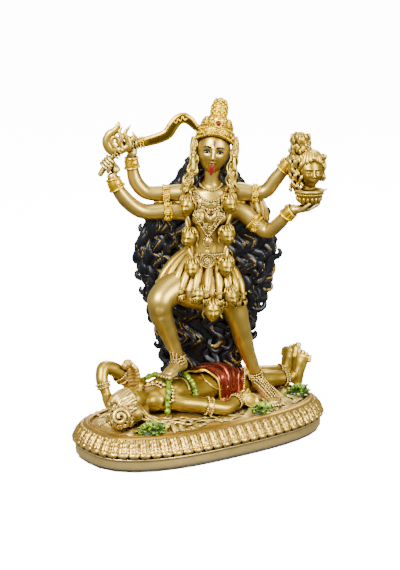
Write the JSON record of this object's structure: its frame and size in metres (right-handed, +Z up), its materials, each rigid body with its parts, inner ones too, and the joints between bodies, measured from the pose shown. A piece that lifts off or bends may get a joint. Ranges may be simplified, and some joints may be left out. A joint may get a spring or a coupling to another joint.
{
  "type": "kali figure",
  "caption": "Painted resin figurine of Kali standing on a reclining figure, on an oval lotus plinth with a felt pad under its foot.",
  "frame": {"origin": "centre of the underside, on the felt's lower face", "axes": "+X along the plinth towards the reclining figure's feet, -Y to the front, +Z up"},
  "size_m": [0.1504, 0.0898, 0.1887],
  "materials": {
    "antique_gold_paint": "champagne metallic paint on cast resin, darkened in the recesses",
    "bright_gold_paint": "yellow metallic paint on the crown, sword and bracelets",
    "black_paint": "satin black on the hair, brushed with gold on the crests",
    "red_paint": "gloss red on the tongue, lips and jewel",
    "copper_red_paint": "metallic copper red on the reclining figure's cloth",
    "green_paint": "yellow green on the snakes and the tufts of leaves",
    "felt": "thin self-adhesive felt"
  },
  "bodies": {
    "root": {"kali_group": "antique_gold_paint", "felt_pad": "felt"}
  },
  "joints": []
}
